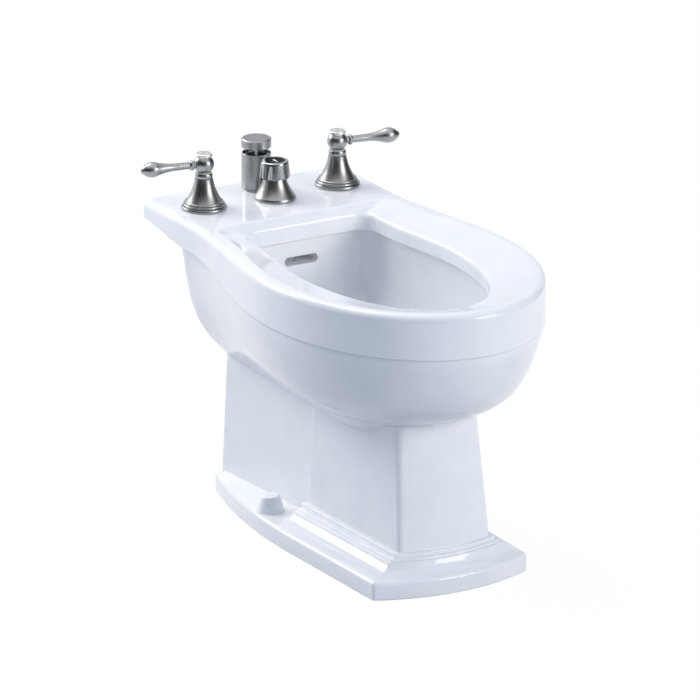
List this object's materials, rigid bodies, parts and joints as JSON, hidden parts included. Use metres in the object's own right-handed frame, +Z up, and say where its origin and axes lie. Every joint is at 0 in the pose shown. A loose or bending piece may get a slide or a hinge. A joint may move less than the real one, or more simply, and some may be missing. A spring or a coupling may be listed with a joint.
{
  "type": "bidet",
  "caption": "Floor-standing glazed china bidet on a stepped pedestal, with lever taps, a diverter knob, a vacuum breaker, a lift-up drain stopper and an upward spray.",
  "frame": {"origin": "on the floor, under the middle of the overall box", "axes": "+Z up, -Y from the tap deck towards the nose of the bowl, +X to the right of a person facing the taps from the nose"},
  "size_m": [0.377, 0.64, 0.4759],
  "materials": {
    "glazed_china": "white glaze over vitreous china, glossy",
    "satin_nickel": "satin nickel plate, finely brushed",
    "index_nickel": "pale satin cap with an engraved mark",
    "marker_black": "black inlay, glossy",
    "bare_brass": "turned brass, slightly dull",
    "plated_tube": "plated tube",
    "black_rubber": "matt moulded rubber",
    "cap_white": "white moulded cap, glossy",
    "natural_plastic": "natural acetal, matt",
    "screw_steel": "stainless steel"
  },
  "bodies": {
    "root": {"hot_escutcheon": "satin_nickel", "cold_escutcheon": "satin_nickel", "hot_neck_ring": "satin_nickel", "cold_neck_ring": "satin_nickel", "diverter_escutcheon": "satin_nickel", "diverter_collar": "satin_nickel", "breaker_shell": "satin_nickel", "breaker_cap": "satin_nickel", "breaker_cup": "satin_nickel", "drain_body": "satin_nickel", "spray_nozzle": "satin_nickel", "hot_valve": "bare_brass", "cold_valve": "bare_brass", "diverter_valve": "bare_brass", "breaker_body": "bare_brass", "hot_locknut": "bare_brass", "cold_locknut": "bare_brass", "diverter_locknut": "bare_brass", "breaker_locknut": "bare_brass", "drain_locknut": "bare_brass", "spray_locknut": "bare_brass", "hot_top_flange": "bare_brass", "cold_top_flange": "bare_brass", "diverter_top_flange": "bare_brass", "hot_tube": "plated_tube", "cold_tube": "plated_tube", "rim_tube": "plated_tube", "spray_tube": "plated_tube", "drain_tailpiece": "plated_tube", "hot_deck_washer": "black_rubber", "cold_deck_washer": "black_rubber", "diverter_deck_washer": "black_rubber", "breaker_deck_washer": "black_rubber", "drain_gasket": "black_rubber", "spray_gasket": "black_rubber", "china_body": "glazed_china", "left_bolt_cap": "cap_white", "right_bolt_cap": "cap_white", "left_bolt_retainer": "natural_plastic", "right_bolt_retainer": "natural_plastic", "hot_glide_ring": "natural_plastic", "cold_glide_ring": "natural_plastic"},
    "hot_lever": {"hot_handle": "satin_nickel", "hot_stem": "bare_brass", "hot_index_cap": "index_nickel", "hot_set_screw": "screw_steel"},
    "cold_lever": {"cold_handle": "satin_nickel", "cold_stem": "bare_brass", "cold_index_cap": "index_nickel", "cold_set_screw": "screw_steel"},
    "diverter_handle": {"diverter_knob": "satin_nickel", "diverter_stem": "bare_brass", "diverter_marker": "marker_black"},
    "breaker_poppet": {"breaker_float": "natural_plastic"},
    "stopper": {"drain_stopper": "satin_nickel"}
  },
  "joints": [
    {"name": "hot_turn", "type": "hinge", "parent": "root", "child": "hot_lever", "pos_m": [-0.1016, 0.2409, 0.461], "axis": [0, 0, 1], "range_deg": [0, 90]},
    {"name": "cold_turn", "type": "hinge", "parent": "root", "child": "cold_lever", "pos_m": [0.1016, 0.2409, 0.461], "axis": [0, 0, 1], "range_deg": [-90, 0]},
    {"name": "diverter_turn", "type": "hinge", "parent": "root", "child": "diverter_handle", "pos_m": [0, 0.2304, 0.437], "axis": [0, 0, 1], "range_deg": [0, 90]},
    {"name": "float_lift", "type": "slide", "parent": "root", "child": "breaker_poppet", "axis": [0, 0, 1], "range_m": [0, 0.005]},
    {"name": "stopper_lift", "type": "slide", "parent": "root", "child": "stopper", "axis": [0, 0, 1], "range_m": [0, 0.01]}
  ]
}
